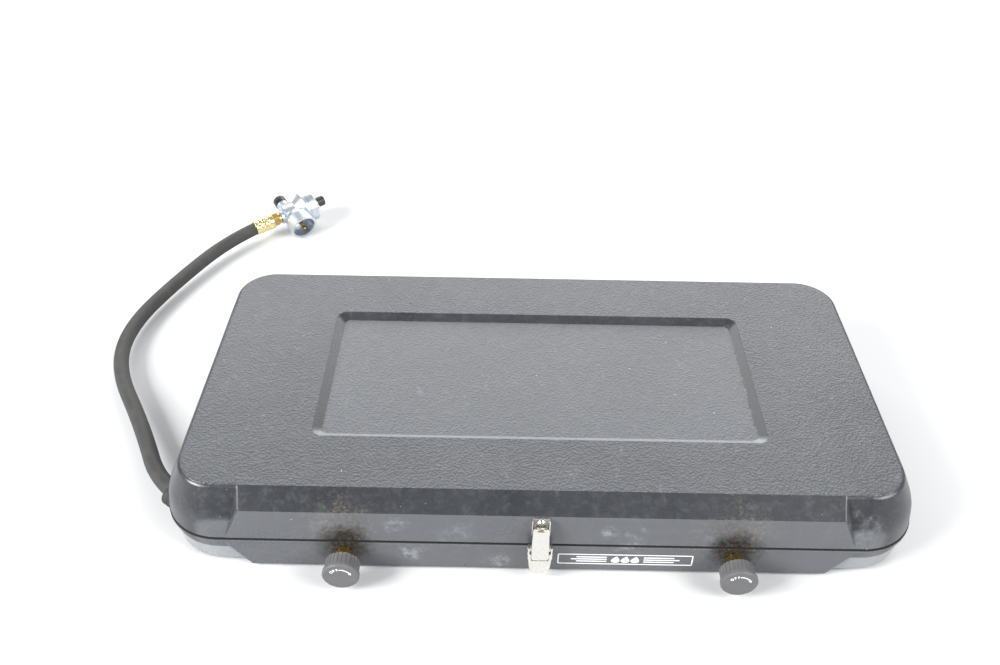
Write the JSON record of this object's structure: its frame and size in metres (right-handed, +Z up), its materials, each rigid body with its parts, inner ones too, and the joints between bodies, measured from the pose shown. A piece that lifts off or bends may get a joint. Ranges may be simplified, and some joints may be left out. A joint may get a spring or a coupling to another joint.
{
  "type": "camp stove",
  "caption": "Folding two-burner camp stove, shut and latched: black enamelled case with a sunk panel in the lid, front valve knobs, rear hinges, and a rubber gas hose with a cylinder regulator.",
  "frame": {"origin": "centre of the case's footprint on the table, measured without the hose and what is on it", "axes": "+X along the case to the right as the knobs are faced, -Y out of the front with the knobs and the latch, +Z up"},
  "size_m": [0.6698, 0.5084, 0.0702],
  "materials": {
    "black_enamel": "black baked enamel with a fine leather grain",
    "rubber": "matt black rubber",
    "hose_rubber": "satin black rubber hose",
    "brass": "machined brass",
    "nickel": "nickel plate, satin",
    "pivot_steel": "bright steel pins and rivets",
    "knob_plastic": "black moulded plastic",
    "burner_steel": "heat-marked steel",
    "pan_steel": "aluminised sheet",
    "grate_wire": "plated steel wire",
    "zinc": "die-cast zinc, satin",
    "cap_plastic": "glossy black plastic cap"
  },
  "bodies": {
    "case": {"base_tray": "black_enamel", "rubber_feet": "rubber", "drip_pan": "pan_steel", "burner_bowl_left": "burner_steel", "burner_bowl_right": "burner_steel", "burner_tube_left": "burner_steel", "burner_tube_right": "burner_steel", "burner_cap_left": "burner_steel", "burner_cap_right": "burner_steel", "burner_screws": "pivot_steel", "burner_brackets": "burner_steel", "valve_left": "brass", "valve_right": "brass", "packing_nuts": "brass", "gas_jets": "brass", "manifold_tube": "brass", "inlet_elbow": "brass", "inlet_ferrule": "brass", "gas_hose": "hose_rubber", "hose_grommet": "rubber", "hose_ferrule": "brass", "hose_fitting": "brass", "regulator_body": "zinc", "regulator_bonnet": "zinc", "bonnet_screws": "pivot_steel", "adjuster_cap": "cap_plastic", "port_cap": "cap_plastic", "probe_pin": "brass", "cup_seal": "rubber", "hinge_leaves_tray": "black_enamel", "hinge_pins": "pivot_steel", "hinge_rivets_tray": "pivot_steel", "latch_base": "nickel", "latch_rivets": "pivot_steel", "latch_pivot_pin": "pivot_steel"},
    "lid": {"lid_shell": "black_enamel", "hinge_leaves_lid": "black_enamel", "hinge_rivets_lid": "pivot_steel", "latch_catch": "nickel", "catch_rivet": "nickel"},
    "lever": {"latch_lever": "nickel", "link_pin": "pivot_steel"},
    "link": {"latch_link": "nickel"},
    "left_knob": {"knob_left": "knob_plastic", "stem_left": "brass"},
    "right_knob": {"knob_right": "knob_plastic", "stem_right": "brass"},
    "grate": {"grate_frame": "grate_wire", "grate_wires": "grate_wire", "grate_bars": "grate_wire"}
  },
  "joints": [
    {"name": "lid_open", "type": "hinge", "parent": "case", "child": "lid", "pos_m": [0, 0.154, 0.0318], "axis": [-1, 0, 0], "range_deg": [0, 105]},
    {"name": "latch_lever_swing", "type": "hinge", "parent": "case", "child": "lever", "pos_m": [0, -0.1393, 0.034], "axis": [-1, 0, 0], "range_deg": [0, 100]},
    {"name": "latch_link_swing", "type": "hinge", "parent": "lever", "child": "link", "pos_m": [0, -0.1385, 0.027], "axis": [-1, 0, 0], "range_deg": [-100, 0]},
    {"name": "knob_left_turn", "type": "hinge", "parent": "case", "child": "left_knob", "pos_m": [-0.1427, -0.15, 0.0195], "axis": [0, -1, 0], "range_deg": [0, 450]},
    {"name": "knob_right_turn", "type": "hinge", "parent": "case", "child": "right_knob", "pos_m": [0.1427, -0.15, 0.0195], "axis": [0, -1, 0], "range_deg": [0, 450]},
    {"name": "grate_lift", "type": "slide", "parent": "case", "child": "grate", "axis": [0, 0, 1], "range_m": [0, 0.012]}
  ],
  "couplings": [
    {"joint": "latch_link_swing", "follows": "latch_lever_swing", "ratio": -1}
  ]
}
